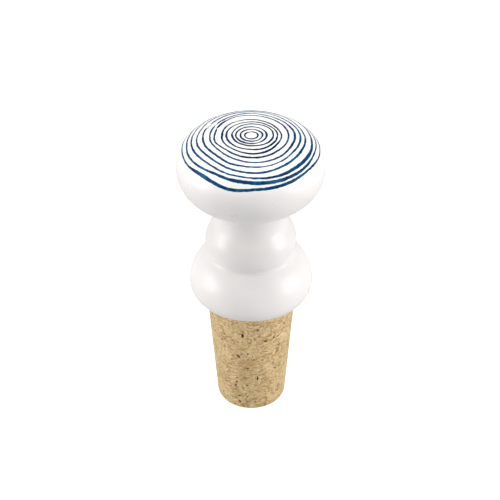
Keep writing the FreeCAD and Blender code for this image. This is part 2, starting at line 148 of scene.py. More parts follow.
# Where one ring strays by itself: its number from the heart, direction and spread in
# degrees, height in millimetres.
RING_STRAYS = (
    (4, -152, 42, 0.18),
    (6, 180, 18, -0.45),
    (7, 172, 20, -0.40),
    (8, 178, 18, -0.36),
    (9, 153, 6, -0.45),
    (9, -115, 14, 0.28),
    (9, -66, 14, -0.22),
    (10, -112, 14, 0.28),
    (11, -99, 16, -0.30),
    (12, -156, 16, 0.40),
    (12, -124, 13, -0.45),
    (12, -64, 18, 0.20),
    (13, -139, 12, -0.32),
    (13, -108, 14, 0.60),
    (13, -62, 28, -0.27),
)
# The hand's tremble: height in millimetres, waves in a full turn, and how far round the
# waves start on each next ring, in radians.
RING_TREMBLES = ((0.10, 5, 1.7), (0.06, 8, 2.9))
# The line's width swings by this share, this often in a full turn.
STROKE_SWING = 0.15
STROKE_WAVES = 3
# Where the brush dwelt on one ring or nearly lifted off it: the ring's number, direction
# and spread in degrees, and what that adds to the line's width in millimetres.
BRUSH_TOUCHES = (
    (7, 140, 9, 0.24),
    (7, 158, 3, -0.45),
    (8, 148, 4, -0.42),
    (9, 152, 6, -0.40),
    (13, -134, 14, 0.46),
    (13, -83, 17, -0.30),
)
THINNEST_HALF_LINE = 0.04
# The brush line's section: how far across it, from edge to edge, and how high.
BRUSH_SECTION = (
    (-1.0, 0.0),
    (-0.82, 0.7),
    (-0.4, 1.0),
    (0.4, 1.0),
    (0.82, 0.7),
    (1.0, 0.0),
    (0.8, -1.0),
    (-0.8, -1.0),
)

# Pits that show on the cork's front: direction and height of each, its length and width,
# how it leans from level, and its depth.
FRONT_PITS = (
    (-101.9, 27.9, 1.15, 0.6, 95, 0.55),
    (-70.4, 25.5, 1.15, 0.45, -35, 0.4),
    (-109.0, 20.0, 1.2, 0.5, -30, 0.4),
    (-51.0, 14.1, 0.8, 0.4, -60, 0.35),
    (-95.4, 15.8, 0.8, 0.35, 0, 0.3),
    (-112.0, 11.7, 0.5, 0.35, 80, 0.25),
    (-115.4, 8.8, 0.6, 0.4, 80, 0.3),
    (-96.6, 9.3, 0.6, 0.4, 0, 0.3),
    (-109.9, 4.9, 0.7, 0.45, -20, 0.3),
    (-96.1, 4.8, 0.6, 0.4, 10, 0.3),
    (-109.6, 2.8, 1.1, 0.45, -55, 0.4),
    (-84.3, 3.0, 0.5, 0.35, 0, 0.3),
    (-39.4, 29.0, 0.6, 0.4, 0, 0.3),
    (-43.5, 27.3, 0.6, 0.35, 60, 0.25),
    (-129.1, 26.6, 0.6, 0.4, 60, 0.3),
    (-135.4, 24.1, 0.9, 0.4, 20, 0.3),
    (-94.7, 21.4, 0.6, 0.4, 90, 0.25),
)
PIT_COUNT = 120
PIT_SEED = 11
# The pits strewn round the cork: where few are added because the front has its own, the
# share kept out of there, and the ranges that their measures are drawn from.
PIT_FRONT = (-150.0, -30.0)
PIT_FRONT_REFUSAL = 0.75
PIT_MARGINS = (0.8, 1.0)
PIT_LENGTHS = (0.4, 0.5, 0.6, 0.8, 1.2)
PIT_WIDTHS = (0.25, 0.5)
PIT_DEPTHS = (0.2, 0.45)
# How rough a pit's outline is, how far past its half length and half width it starts,
# and how wide its sloping wall is, as shares of these.
PIT_RAGGEDNESS = 0.35
PIT_RAG_SIZE = 0.35
PIT_EDGE = 1.15
PIT_WALL = 0.45

# Pressed granules: their size, the seams between them, the level of each face, the bend
# of their outlines, and which stretches of seam are open.
GRANULE_SIZE = 2.9
GRANULE_SEAM_DEPTH = 0.09
GRANULE_SEAM_WIDTH = 0.12
GRANULE_LEVEL_DEPTH = 0.05
GRANULE_LEVEL_PICK = 7.3
GRANULE_BEND = 0.35
GRANULE_BEND_SIZE = 1.6
GRANULE_BEND_SEED = 5
OPEN_SEAM_SIZE = 2.4
OPEN_SEAM_CONTRAST = 1.6
OPEN_SEAM_START = UP * 31
GRAIN_DEPTH = 0.03
GRAIN_SIZE = 0.5
# where the cork's surface is left smooth: near its ends and inside the pin's hole
SMOOTH_TIP = CORK_TIP_ROUND * 0.3
SMOOTH_TOP = CORK_LENGTH - CORK_TOP_BEVEL * 1.5
SMOOTH_MIDDLE_RADIUS = PIN_HOLE_RADIUS * 1.2


# --- turned outlines -------------------------------------------------------------------


def point_at(radius, height):
    return Vector((radius * MM, 0.0, height * MM))


def start_outline(bm, radius, height):
    return bm.verts.new(point_at(radius, height))


def line_to(bm, last, radius, height, step):
    """Draw the outline straight on to a point, in steps about this long."""
    start = last.co.copy()
    end = point_at(radius, height)
    count = max(1, round((end - start).length / (step * MM)))
    for number in range(count):
        last = bmesh.ops.extrude_vert_indiv(bm, verts=[last])["verts"][0]
        last.co = start.lerp(end, (number + 1) / count)
    return last


def arc_to(bm, last, centre, towards, step):
    """Swing the outline's last point about a centre until it faces the given point."""
    middle = point_at(*centre)
    arm = last.co - middle
    goal = point_at(*towards) - middle
    sweep = math.atan2(goal.z, goal.x) - math.atan2(arm.z, arm.x)
    sweep = (sweep + math.pi) % math.tau - math.pi
    count = max(FEWEST_ARC_STEPS, round(abs(sweep) * arm.length / (step * MM)))
    before = set(bm.verts)
    bmesh.ops.spin(
        bm, geom=[last], cent=middle, axis=OUTLINE_TURN_AXIS, angle=sweep, steps=count,
        use_merge=False,
    )
    drawn = [vert for vert in bm.verts if vert not in before]
    end = middle + goal.normalized() * arm.length
    return min(drawn, key=lambda vert: (vert.co - end).length)


def turn_outline(bm, steps):
    """Turn the half outline once round the axis and close its poles and seam."""
    outline = bm.verts[:] + bm.edges[:]
    bmesh.ops.spin(
        bm, geom=outline, cent=(0, 0, 0), axis=UP, angle=math.tau, steps=steps, use_merge=True,
    )
    bmesh.ops.remove_doubles(bm, verts=bm.verts, dist=MERGE_DISTANCE)
    bmesh.ops.recalc_face_normals(bm, faces=bm.faces)


def finish_piece(bm, name, material, node):
    """Make the finished piece, hang it on the root body and hide the part node whose place it
    takes.
    """
    mesh = bpy.data.meshes.new(name)
    for face in bm.faces:
        face.smooth = True
    bm.to_mesh(mesh)
    bm.free()
    mesh.materials.append(material)
    piece = bpy.data.objects.new(name, mesh)
    bpy.context.scene.collection.objects.link(piece)
    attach(piece, "root")
    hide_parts(node)
    return piece


def cove_centre(lower, lower_radius, upper, upper_radius, radius):
    """Centre of the hollow arc that touches two round forms on their outer side."""
    run = upper[0] - lower[0]
    rise = upper[1] - lower[1]
    span = math.hypot(run, rise)
    reach = lower_radius + radius
    along = (reach**2 - (upper_radius + radius) ** 2 + span**2) / (2 * span)
    aside = math.sqrt(reach**2 - along**2)
    return (
        lower[0] + (along * run + aside * rise) / span,
        lower[1] + (along * rise - aside * run) / span,
    )


# --- knob ------------------------------------------------------------------------------


def draw_knob_outline(bm):
    """Socket, seat, bead, groove, collar, neck, belly, rim and crown."""
    overhang = BEAD_RADIUS - SEAT_RADIUS
    bead_rise = BEAD_HEIGHT - CORK_LENGTH
    foot = (BEAD_RADIUS - (bead_rise**2 + overhang**2) / (2 * overhang), BEAD_HEIGHT)
    shoulder = (BEAD_RADIUS - BEAD_SHOULDER_RADIUS, BEAD_HEIGHT)
    collar_foot = (COLLAR_RADIUS - COLLAR_FOOT_RADIUS, COLLAR_HEIGHT)
    collar_top = (COLLAR_RADIUS - COLLAR_SHOULDER_RADIUS, COLLAR_HEIGHT)
    belly = (HEAD_RADIUS - HEAD_BELLY_RADIUS, HEAD_HEIGHT)
    groove = cove_centre(
        shoulder, BEAD_SHOULDER_RADIUS, collar_foot, COLLAR_FOOT_RADIUS, GROOVE_RADIUS
    )
    neck = cove_centre(
        collar_top, COLLAR_SHOULDER_RADIUS, belly, HEAD_BELLY_RADIUS, NECK_COVE_RADIUS
    )
    bead_side = (BEAD_RADIUS, BEAD_HEIGHT)
    collar_side = (COLLAR_RADIUS, COLLAR_HEIGHT)
    head_side = (HEAD_RADIUS, HEAD_HEIGHT)
    beyond_rim = (2 * RIM_CENTRE[0] - CROWN_CENTRE[0], 2 * RIM_CENTRE[1] - CROWN_CENTRE[1])
    top = (0.0, CROWN_CENTRE_HEIGHT + CROWN_RADIUS)
    socket_top = CORK_LENGTH + PIN_HOLE_DEPTH

    last = start_outline(bm, 0.0, socket_top)
    last = line_to(bm, last, PIN_HOLE_RADIUS, socket_top, PIN_HOLE_RADIUS)
    last = line_to(bm, last, PIN_HOLE_RADIUS, CORK_LENGTH + SOCKET_MOUTH_BEVEL, PIN_HOLE_DEPTH)
    last = line_to(bm, last, PIN_HOLE_RADIUS + SOCKET_MOUTH_BEVEL, CORK_LENGTH, SOCKET_MOUTH_BEVEL)
    last = line_to(bm, last, SEAT_RADIUS, CORK_LENGTH, SEAT_RADIUS)
    last = arc_to(bm, last, foot, bead_side, KNOB_STEP)
    last = arc_to(bm, last, shoulder, groove, KNOB_STEP)
    last = arc_to(bm, last, groove, collar_foot, GROOVE_STEP)
    last = arc_to(bm, last, collar_foot, collar_side, KNOB_STEP)
    last = arc_to(bm, last, collar_top, neck, KNOB_STEP)
    last = arc_to(bm, last, neck, belly, KNOB_STEP)
    last = arc_to(bm, last, belly, head_side, KNOB_STEP)
    last = arc_to(bm, last, RIM_CENTRE, beyond_rim, KNOB_STEP)
    arc_to(bm, last, CROWN_CENTRE, top, KNOB_STEP)


def glaze_sink(place):
    """How far the glaze lies under the true turned form, which no kiln leaves perfect."""
    lump = noise.noise(place / (GLAZE_WAVE * MM))
    ridge_place = Vector((*TURNING_RIDGE_START, place.z / (TURNING_RIDGE_SPACING * MM)))
    return GLAZE_UNEVEN * (1 - lump) / 2 + TURNING_RIDGE * (1 - noise.noise(ridge_place)) / 2


def distance_from_axis(place):
    return math.hypot(place.x, place.y)


def is_glazed(place):
    """The outside of the knob, apart from its seat, and not the socket inside."""
    above_seat = place.z > CORK_LENGTH * MM + MERGE_DISTANCE
    outside_socket = distance_from_axis(place) > SEAT_RADIUS * MM * SOCKET_SHARE
    return above_seat and (outside_socket or place.z > HEAD_HEIGHT * MM)


def make_knob(material):
    bm = bmesh.new()
    draw_knob_outline(bm)
    turn_outline(bm, KNOB_STEPS_ROUND)
    bm.normal_update()
    for vert in bm.verts:
        if is_glazed(vert.co):
            vert.co -= vert.normal * glaze_sink(vert.co) * MM
    return finish_piece(bm, "glazed_knob", material, "knob")


# --- painted rings ---------------------------------------------------------------------


def bump(turn, centre, spread):
    """Smooth swelling of height 1 round a direction; turn in radians, the rest in degrees."""
    apart = (math.degrees(turn) - centre + 180) % 360 - 180
    return math.exp(-((apart / spread) ** 2))


def ring_distance(index, turn):
    """Distance of a painted ring's middle from the crown's top, along the surface."""
    share, wave_share, lean, lean_direction, _, _ = RINGS[index]
    wave = sum(height * bump(turn, centre, spread) for centre, spread, height in RING_SWELLS)
    stray = sum(
        height * bump(turn, centre, spread)
        for number, centre, spread, height in RING_STRAYS
        if number == index + 1
    )
    tremble = sum(
        height * math.sin(waves * turn + start * index) for height, waves, start in RING_TREMBLES
    )
    wandered = wave_share * wave + stray + share * tremble
    leaning = lean * math.cos(turn - math.radians(lean_direction))
    return share * (LENGTH_TO_EQUATOR - RING_BORDER) + wandered + leaning


def ring_stroke(index, turn):
    """Width of the brush line at an angle: wider where the brush was pressed or dwelt."""
    press, press_direction = RINGS[index][4:]
    unsteady = 1 + STROKE_SWING * math.sin(STROKE_WAVES * turn + index)
    touches = sum(
        change * bump(turn, centre, spread)
        for number, centre, spread, change in BRUSH_TOUCHES
        if number == index + 1
    )
    pressed = press * bump(turn, press_direction, PRESS_SPREAD)
    return RING_LINE_WIDTH * unsteady + pressed + touches


def brush_wobble(index, turn, across):
    """How the line's edge wanders along a ring, each edge in its own way."""
    along = Vector((math.cos(turn), math.sin(turn), 0.0)) * RINGS[index][0] * BRUSH_WOBBLES
    own_way = Vector(
        (index * RING_OWN_WOBBLE, math.copysign(EDGE_OWN_WOBBLE, across), WOBBLE_LEVEL)
    )
    return noise.noise(along + own_way)


def place_on_crown(distance, turn, lift):
    """Point this far from the crown's top along its surface, lifted off it."""
    if distance <= CROWN_LENGTH:
        angle = distance / CROWN_RADIUS
        centre, arm = CROWN_CENTRE, CROWN_RADIUS
    else:
        angle = CROWN_ANGLE + (distance - CROWN_LENGTH) / HEAD_RIM_RADIUS
        centre, arm = RIM_CENTRE, HEAD_RIM_RADIUS
    sideways = Vector((math.cos(turn), math.sin(turn), 0.0))
    outward = sideways * math.sin(angle) + UP * math.cos(angle)
    on_surface = (sideways * centre[0] + UP * centre[1] + outward * arm) * MM
    return on_surface + outward * (lift - glaze_sink(on_surface)) * MM


def draw_ring_sections(bm):
    """The brush line's section once for each ring, one far outside the other."""
    edges = []
    for index in range(len(RINGS)):
        band_radius = BAND_SPACING * (index + 1)
        section = [
            bm.verts.new(point_at(band_radius + across, level)) for across, level in BRUSH_SECTION
        ]
        for number, vert in enumerate(section):
            edges.append(bm.edges.new((vert, section[number - 1])))
    return bm.verts[:] + edges


def make_painted_rings(material):
    """Plain turned bands first, which are then bent to their brushed lines on the crown."""
    bm = bmesh.new()
    across_layer = bm.verts.layers.float.new("brush_across")
    sections = draw_ring_sections(bm)
    bmesh.ops.spin(
        bm, geom=sections, cent=(0, 0, 0), axis=UP, angle=math.tau, steps=RING_STEPS_ROUND,
        use_merge=True,
    )
    for vert in bm.verts:
        turn = math.atan2(vert.co.y, vert.co.x)
        band_radius = distance_from_axis(vert.co) / MM
        index = round(band_radius / BAND_SPACING) - 1
        across = band_radius - BAND_SPACING * (index + 1)
        level = vert.co.z / MM
        half = ring_stroke(index, turn) / 2 + BRUSH_RAGGEDNESS * brush_wobble(index, turn, across)
        half = max(half, THINNEST_HALF_LINE)
        lift = level * (PAINT_HEIGHT if level > 0 else PAINT_ROOT)
        vert.co = place_on_crown(ring_distance(index, turn) + across * half, turn, lift)
        vert[across_layer] = abs(across)
    bmesh.ops.recalc_face_normals(bm, faces=bm.faces)
    return finish_piece(bm, "brushed_rings", material, "painted_rings")


# --- cork ------------------------------------------------------------------------------


def draw_cork_outline(bm):
    """Tip, rounded tip edge, tapered side, bevelled top edge, top and pin hole."""
    taper = math.atan2(CORK_TOP_RADIUS - CORK_TIP_RADIUS, CORK_LENGTH)
    round_centre = (
        CORK_TIP_RADIUS - CORK_TIP_ROUND * (1 - math.sin(taper)) / math.cos(taper),
        CORK_TIP_ROUND,
    )
    side_start = (
        round_centre[0] + CORK_TIP_ROUND * math.cos(taper),
        round_centre[1] - CORK_TIP_ROUND * math.sin(taper),
    )
    bevel_foot = (
        CORK_TOP_RADIUS - CORK_TOP_BEVEL * math.sin(taper),
        CORK_LENGTH - CORK_TOP_BEVEL * math.cos(taper),
    )
    hole_floor = CORK_LENGTH - PIN_HOLE_DEPTH
    last = start_outline(bm, 0.0, 0.0)
    last = line_to(bm, last, round_centre[0], 0.0, CORK_END_STEP)
    last = arc_to(bm, last, round_centre, side_start, CORK_STEP)
    last = line_to(bm, last, *bevel_foot, CORK_STEP)
    last = line_to(bm, last, CORK_TOP_RADIUS - CORK_TOP_BEVEL, CORK_LENGTH, CORK_STEP)
    last = line_to(bm, last, PIN_HOLE_RADIUS, CORK_LENGTH, CORK_LENGTH)
    last = line_to(bm, last, PIN_HOLE_RADIUS, hole_floor, CORK_LENGTH)
    line_to(bm, last, 0.0, hole_floor, CORK_LENGTH)


def scatter_pits():
    """The front's own pits, and others like them strewn over the rest of the side."""
    pits = list(FRONT_PITS)
    draw = random.Random(PIT_SEED)
    while len(pits) < PIT_COUNT:
        direction = draw.uniform(-180, 180)
        height = draw.uniform(PIT_MARGINS[0], CORK_LENGTH - PIT_MARGINS[1])
        length = draw.choice(PIT_LENGTHS)
        width = draw.uniform(*PIT_WIDTHS)
        lean = draw.uniform(-90, 90)
        depth = draw.uniform(*PIT_DEPTHS)
        in_front = PIT_FRONT[0] < direction < PIT_FRONT[1]
        if in_front and draw.random() < PIT_FRONT_REFUSAL:
            continue
        pits.append((direction, height, length, width, lean, depth))
    return pits


def sort_pits_by_height(pits):
    """For each whole millimetre of height, the pits that can reach it."""
    rows = {}
    for pit in pits:
        height, length = pit[1:3]
        for row in range(int(height - length) - 1, int(height + length) + 2):
            rows.setdefault(row, []).append(pit)
    return rows


def pit_depth(place, pits_nearby):
    """Deepest pit at a place on the cork's side, in millimetres."""
    turn = math.atan2(place.y, place.x)
    radius = distance_from_axis(place) / MM
    height = place.z / MM
    deepest = 0.0
    for direction, pit_height, length, width, lean, depth in pits_nearby:
        aside = ((turn - math.radians(direction) + math.pi) % math.tau - math.pi) * radius
        above = height - pit_height
        along = aside * math.cos(math.radians(lean)) + above * math.sin(math.radians(lean))
        over = -aside * math.sin(math.radians(lean)) + above * math.cos(math.radians(lean))
        ragged = 1 + PIT_RAGGEDNESS * noise.noise(place / (PIT_RAG_SIZE * MM))
        reach = math.sqrt((2 * along / length) ** 2 + (2 * over / width) ** 2) * ragged
        if reach < PIT_EDGE:
            wall = min(1.0, (PIT_EDGE - reach) / PIT_WALL)
            deepest = max(deepest, depth * wall)
    return deepest


def seam_openness(place):
    """Share of a seam that is open at a place: most are pressed tight."""
    swing = noise.noise(place / (OPEN_SEAM_SIZE * MM) + OPEN_SEAM_START)
    return max(0.0, min(1.0, 0.5 + OPEN_SEAM_CONTRAST * swing))


def granule_relief(place):
    """Depth of the seams between granules and of each granule's own face."""
    # Without a seed of its own, noise_vector would follow the clock.
    bend = noise.noise_vector(place / (GRANULE_BEND_SIZE * MM)) * GRANULE_BEND
    distances, centres = noise.voronoi(place / (GRANULE_SIZE * MM) + bend)
    seam = max(0.0, 1 - (distances[1] - distances[0]) / GRANULE_SEAM_WIDTH)
    face = noise.cell(centres[0] * GRANULE_LEVEL_PICK)
    level = face if face >= 0 else (face + 1) / 2
    return GRANULE_SEAM_DEPTH * seam * seam_openness(place) + GRANULE_LEVEL_DEPTH * level


def is_rough_cork(place):
    """The cork's side, but not its flat tip, its bevelled top or the pin's hole."""
    on_side = SMOOTH_TIP * MM < place.z < SMOOTH_TOP * MM
    return on_side and distance_from_axis(place) > SMOOTH_MIDDLE_RADIUS * MM


def make_cork(material):
    bm = bmesh.new()
    draw_cork_outline(bm)
    turn_outline(bm, CORK_STEPS_ROUND)
    bm.normal_update()
    pit_layer = bm.verts.layers.float.new("pit")
    rows = sort_pits_by_height(scatter_pits())
    noise.seed_set(GRANULE_BEND_SEED)
    for vert in bm.verts:
        if not is_rough_cork(vert.co):
            continue
        pit = pit_depth(vert.co, rows.get(int(vert.co.z / MM), ()))
        grain = GRAIN_DEPTH * (0.5 + 0.5 * noise.noise(vert.co / (GRAIN_SIZE * MM)))
        vert[pit_layer] = pit
        vert.co -= vert.normal * (pit + granule_relief(vert.co) + grain) * MM
    return finish_piece(bm, "pressed_cork_body", material, "cork")


# --- materials -------------------------------------------------------------------------

# Which sockets of the Mix node hold its share, its two colours and its result.
MIX_SHARE, MIX_FIRST, MIX_SECOND = 0, 6, 7
MIX_RESULT = 2
# Nearly all of a cloudy pattern lies between these two values.
CLOUD_LOW = 0.3
CLOUD_HIGH = 0.7


def colour(red, green, blue):
    """A colour as seen on a screen, 0 to 255, made linear."""
    linear = []
    for value in (red, green, blue):
        share = value / 255
        linear.append(share / 12.92 if share <= 0.04045 else ((share + 0.055) / 1.055) ** 2.4)
    return (*linear, 1.0)


def new_material(name):
    material = bpy.data.materials.new(name)
    material.use_nodes = True
    tree = material.node_tree
    return material, tree, tree.nodes["Principled BSDF"]


def fill(tree, socket, value):
    """Link a value that comes from another node, or set a plain one."""
    if isinstance(value, bpy.types.NodeSocket):
        tree.links.new(value, socket)
    else:
        socket.default_value = value


def add(tree, kind, settings=(), **inputs):
    """Add a node, choose its settings and fill its inputs by name."""
    node = tree.nodes.new("ShaderNode" + kind)
    for name, value in dict(settings).items():
        setattr(node, name, value)
    for name, value in inputs.items():
        fill(tree, node.inputs[name.replace("_", " ")], value)
    return node


def reckon(tree, operation, *values, kind="Math"):
    """One step of arithmetic on a pattern, or on a place with kind VectorMath."""
    node = add(tree, kind, {"operation": operation})
    for number, value in enumerate(values):
        fill(tree, node.inputs[number], value)
    return node.outputs[0]


def times(tree, pattern, factor):
    return reckon(tree, "MULTIPLY", pattern, factor)


def plus(tree, pattern, other):
    return reckon(tree, "ADD", pattern, other)


def stretched(tree, place, factors):
    return reckon(tree, "MULTIPLY", place, factors, kind="VectorMath")


def moved(tree, place, direction, reach):
    """Shift a place along a pattern of directions, by this many millimetres for each one."""
    shift = stretched(tree, direction, (reach * MM,) * 3)
    return reckon(tree, "ADD", place, shift, kind="VectorMath")


def spread(tree, pattern, low, high, to_low=0.0, to_high=1.0):
    """Stretch a pattern's range from low..high to another."""
    node = add(tree, "MapRange", {"clamp": True}, Value=pattern)
    ends = {"From Min": low, "From Max": high, "To Min": to_low, "To Max": to_high}
    for name, number in ends.items():
        node.inputs[name].default_value = number
    return node.outputs[0]


def mix_colours(tree, share, first, second):
    node = add(tree, "Mix", {"data_type": "RGBA"})
    fill(tree, node.inputs[MIX_SHARE], share)
    fill(tree, node.inputs[MIX_FIRST], first)
    fill(tree, node.inputs[MIX_SECOND], second)
    return node.outputs[MIX_RESULT]


def place_in_piece(tree):
    return add(tree, "TexCoord").outputs["Object"]


def cloudiness(tree, place, grain, detail=2.0, roughness=0.5, stretch=None):
    """Soft noise whose clouds are about this many millimetres wide."""
    if stretch:
        place = stretched(tree, place, stretch)
    scale = 1 / (grain * MM)
    clouds = add(tree, "TexNoise", Vector=place, Scale=scale, Detail=detail, Roughness=roughness)
    return clouds.outputs["Fac"]


def cloudy_colour(tree, clouds, first, second):
    return mix_colours(tree, spread(tree, clouds, CLOUD_LOW, CLOUD_HIGH), first, second)


def set_roughness(tree, shader, clouds, lowest, highest):
    """Roughness that follows a cloudy pattern."""
    rough = spread(tree, clouds, CLOUD_LOW, CLOUD_HIGH, lowest, highest)
    tree.links.new(rough, shader.inputs["Roughness"])


def relief(tree, shader, height, strength, distance):
    """Small relief in the surface, in millimetres."""
    node = add(tree, "Bump", Height=height, Strength=strength, Distance=distance * MM)
    tree.links.new(node.outputs[0], shader.inputs["Normal"])


# --- glaze -----------------------------------------------------------------------------

GLAZE_WHITE = colour(245, 245, 244)
GLAZE_SHADE = colour(241, 241, 241)
BARE_CLAY = colour(224, 214, 200)
GLAZE_CLOUDS = 7.0
GLAZE_FINE_CLOUDS = 0.9
# The glaze thins out just above the seat: where it is full, and where the clay is bare.
GLAZE_EDGE = (CORK_LENGTH + 0.28, CORK_LENGTH + 0.18)
GLAZE_EDGE_RAGGEDNESS = 0.3
GLAZE_ROUGHNESS = (0.27, 0.33)
BARE_CLAY_ROUGHNESS = 0.8
GLAZE_IOR = 1.5
TURNING_MARK_STRETCH = (0.06, 0.06, 1.0)
FINE_CLOUD_RELIEF = 0.12
GLAZE_RELIEF = (0.6, 0.06)


def glaze_material():
    """White glaze over a white clay body, bare where it meets the cork."""
    material, tree, shader = new_material("white_tin_glaze")
    place = place_in_piece(tree)
    height = add(tree, "SeparateXYZ", Vector=place).outputs["Z"]
    clouds = cloudiness(tree, place, GLAZE_CLOUDS)
    fine_clouds = cloudiness(tree, place, GLAZE_FINE_CLOUDS, detail=3.0)
    glaze = cloudy_colour(tree, clouds, GLAZE_WHITE, GLAZE_SHADE)
    ragged_height = plus(tree, height, times(tree, fine_clouds, GLAZE_EDGE_RAGGEDNESS * MM))
    bare = spread(tree, ragged_height, GLAZE_EDGE[0] * MM, GLAZE_EDGE[1] * MM)
    tree.links.new(mix_colours(tree, bare, glaze, BARE_CLAY), shader.inputs["Base Color"])
    gloss = spread(tree, clouds, CLOUD_LOW, CLOUD_HIGH, *GLAZE_ROUGHNESS)
    rough = reckon(tree, "MAXIMUM", gloss, times(tree, bare, BARE_CLAY_ROUGHNESS))
    tree.links.new(rough, shader.inputs["Roughness"])
    shader.inputs["IOR"].default_value = GLAZE_IOR
    turning_marks = cloudiness(tree, place, TURNING_RIDGE_SPACING, stretch=TURNING_MARK_STRETCH)
    skin = plus(tree, clouds, times(tree, fine_clouds, FINE_CLOUD_RELIEF))
    relief(tree, shader, plus(tree, skin, turning_marks), *GLAZE_RELIEF)
    return material


# --- paint -----------------------------------------------------------------------------

INK_DEEP = colour(0, 26, 62)
INK_MID = colour(0, 58, 104)
INK_THIN = colour(0, 92, 134)
INK_WASH = colour(110, 165, 196)
INK_POOLS = 2.6
INK_STREAKS = 0.22
MID_POOLS = (0.28, 0.42, 0.4, 1.0)
THIN_POOLS = (0.5, 0.66)
# The ink is deeper towards the heart: distances from the axis in metres, and shares.
DEEP_HEART = (13.5 * MM, 8.0 * MM, 0.0, 0.75)
STREAK_MIDDLE = 0.5
STREAK_REACH = 0.5
WASHED_EDGE = (0.85, 1.1, 0.0, 0.4)
INK_ROUGHNESS = (0.27, 0.33)
INK_SPECULAR = 0.1
INK_RELIEF = (0.3, 0.03)


def paint_material():
    """Cobalt brush line under the glaze: deep where the brush lingered, thin at its edges."""
    material, tree, shader = new_material("cobalt_brushwork")
    place = place_in_piece(tree)
    pooled = cloudiness(tree, place, INK_POOLS)
    streaks = cloudiness(tree, place, INK_STREAKS, detail=3.0)
    ink = mix_colours(tree, spread(tree, pooled, *MID_POOLS), INK_DEEP, INK_MID)
    ink = mix_colours(tree, spread(tree, pooled, *THIN_POOLS), ink, INK_THIN)
    level_place = stretched(tree, place, (1.0, 1.0, 0.0))
    length = add(tree, "VectorMath", {"operation": "LENGTH"}, Vector=level_place)
    deep = spread(tree, length.outputs["Value"], *DEEP_HEART)
    ink = mix_colours(tree, deep, ink, INK_DEEP)
    across = add(tree, "Attribute", {"attribute_name": "brush_across"}).outputs["Fac"]
    streak = reckon(tree, "SUBTRACT", streaks, STREAK_MIDDLE)
    edge = plus(tree, across, times(tree, streak, STREAK_REACH))
    ink = mix_colours(tree, spread(tree, edge, *WASHED_EDGE), ink, INK_WASH)
    tree.links.new(ink, shader.inputs["Base Color"])
    set_roughness(tree, shader, pooled, *INK_ROUGHNESS)
    shader.inputs["Specular IOR Level"].default_value = INK_SPECULAR
    relief(tree, shader, streaks, *INK_RELIEF)
    return material


# --- pressed cork ----------------------------------------------------------------------

CORK_TAN = colour(210, 178, 120)
CORK_STRAW = colour(238, 210, 154)
CORK_KHAKI = colour(188, 168, 106)
CORK_PINK = colour(234, 194, 150)
CORK_CREAM = colour(252, 233, 190)
CORK_BROWN = colour(144, 106, 52)
CORK_RIB = colour(138, 98, 48)
CORK_SEAM = colour(126, 86, 44)
CORK_FLECK = colour(116, 70, 32)
# A pit's dark brown: partly the cork's own colour, partly painted shade that deepens with the
# pit's depth.
CORK_PIT_BROWN_AND_SHADE = colour(98, 50, 16)
# sizes of the cork's patterns and how far they are bent, in millimetres
SWIRL_SIZE = 2.6
SWIRL_DETAIL = 1.5
SWIRL_REACH = 4.0
GRANULE_STRAY = 2.4
CURL_SIZE = 3.0
CLEAR_STRAND_SIZE = 2.4
FLAKE_SIZE = 1.0
STROKE_SIZE = 0.42
CORK_SEAM_PATCHES = 2.2
FLECK_SPACING = 0.9
CORK_GRAIN = 0.16
CURL_TURNS = 40.0
GRANULE_SOFTNESS = 0.35
LYING_FLAT = (1.0, 1.0, 1.8)
# Where in its pattern each tone starts and is full, and the shares that it goes between.
STRAW_GRANULES = (0.2, 0.85)
KHAKI_GRANULES = (0.6, 0.9, 0.0, 0.5)
PINK_GRANULES = (0.6, 0.9, 0.0, 0.5)
CLEAR_STRANDS = (0.45, 0.62)
LIGHT_STRANDS = (0.0, 0.9, 0.0, 0.75)
DARK_STRANDS = (-0.5, -0.95, 0.0, 0.8)
LIGHT_FLAKES = (0.53, 0.67, 0.0, 0.95)
DARK_FLAKES = (0.45, 0.34, 0.0, 0.9)
DARK_STROKES = (0.63, 0.76, 0.0, 0.65)
SEAM_EDGE = (0.05, 0.0)
OPEN_SEAMS = (0.46, 0.62)
FLECKED_CELLS = (0.91, 0.96)
FLECK_EDGE = (0.4, 0.2)
# Depths in millimetres over which a pit darkens: partly the cork's own brown, partly painted shade
# in the hollow.
PIT_SLOPE_SHADE = (0.02, 0.14)
PIT_HEART_SHADE = (0.12, 0.34)
DARK_GRAIN = (0.35, 0.65, 0.0, 0.16)
SEAM_SHARE = 0.6
FLECK_SHARE = 0.75
CORK_ROUGHNESS = (0.6, 0.8)
CORK_SPECULAR = 0.3
CORK_SHEEN = 1.0
CORK_SHEEN_ROUGHNESS = 0.5
# how much each pattern raises or sinks the surface, and the relief's strength and depth
FLAKE_RELIEF = 1.5
GRAIN_RELIEF = -0.3
SEAM_RELIEF = 0.6
FLECK_RELIEF = 0.6
CORK_RELIEF = (0.6, 0.12)


def granule_tones(tree, strayed):
    """Granules of straw, tan, khaki and pinkish cork."""
    cells = add(
        tree, "TexVoronoi", {"feature": "SMOOTH_F1"}, Vector=strayed,
        Scale=1 / (GRANULE_SIZE * MM), Smoothness=GRANULE_SOFTNESS,
    )
    pick = add(tree, "SeparateColor", Color=cells.outputs["Color"]).outputs
    shade = mix_colours(tree, spread(tree, pick["Red"], *STRAW_GRANULES), CORK_TAN, CORK_STRAW)
    shade = mix_colours(tree, spread(tree, pick["Green"], *KHAKI_GRANULES), shade, CORK_KHAKI)
    return mix_colours(tree, spread(tree, pick["Blue"], *PINK_GRANULES), shade, CORK_PINK)


def add_strands(tree, shade, lying, swirled):
    """Light and dark strands that curl through some of the granules."""
    curls = times(tree, cloudiness(tree, lying, CURL_SIZE), CURL_TURNS)
    strands = reckon(tree, "SINE", curls)
    clear = spread(tree, cloudiness(tree, swirled, CLEAR_STRAND_SIZE), *CLEAR_STRANDS)
    light = times(tree, spread(tree, strands, *LIGHT_STRANDS), clear)
    dark = times(tree, spread(tree, strands, *DARK_STRANDS), clear)
    return mix_colours(tree, dark, mix_colours(tree, light, shade, CORK_CREAM), CORK_BROWN)


